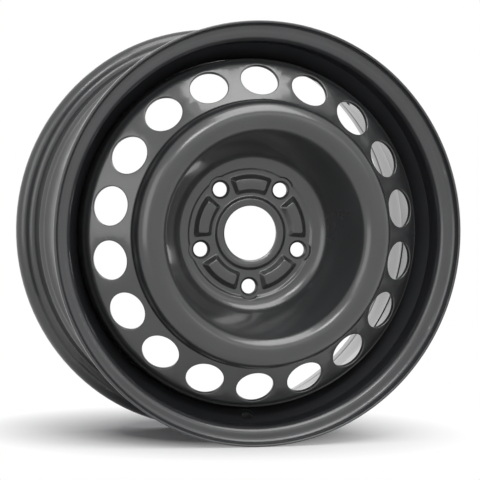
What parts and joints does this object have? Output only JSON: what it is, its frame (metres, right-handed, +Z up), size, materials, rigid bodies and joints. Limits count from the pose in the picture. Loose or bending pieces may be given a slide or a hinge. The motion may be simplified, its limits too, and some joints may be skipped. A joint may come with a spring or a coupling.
{
  "type": "steel wheel",
  "caption": "Pressed steel car wheel: rolled drop-centre rim welded to a dished disc with oval vents, ball-seat bolt holes and a centre bore; painted black.",
  "frame": {"origin": "centre of the hub face, where the disc meets the vehicle's hub", "axes": "+Y along the wheel's axis towards the vehicle (inboard), -Y outboard, +Z up, with the valve hole at the bottom"},
  "size_m": [0.4402, 0.2075, 0.4402],
  "materials": {
    "rim_paint": "semi-gloss black paint",
    "disc_paint": "semi-gloss black paint",
    "weld_paint": "semi-gloss black paint over weld ripples"
  },
  "bodies": {
    "root": {"rim": "rim_paint", "disc": "disc_paint", "weld_seam_1": "weld_paint", "weld_seam_2": "weld_paint", "weld_seam_3": "weld_paint", "weld_seam_4": "weld_paint"}
  },
  "joints": []
}
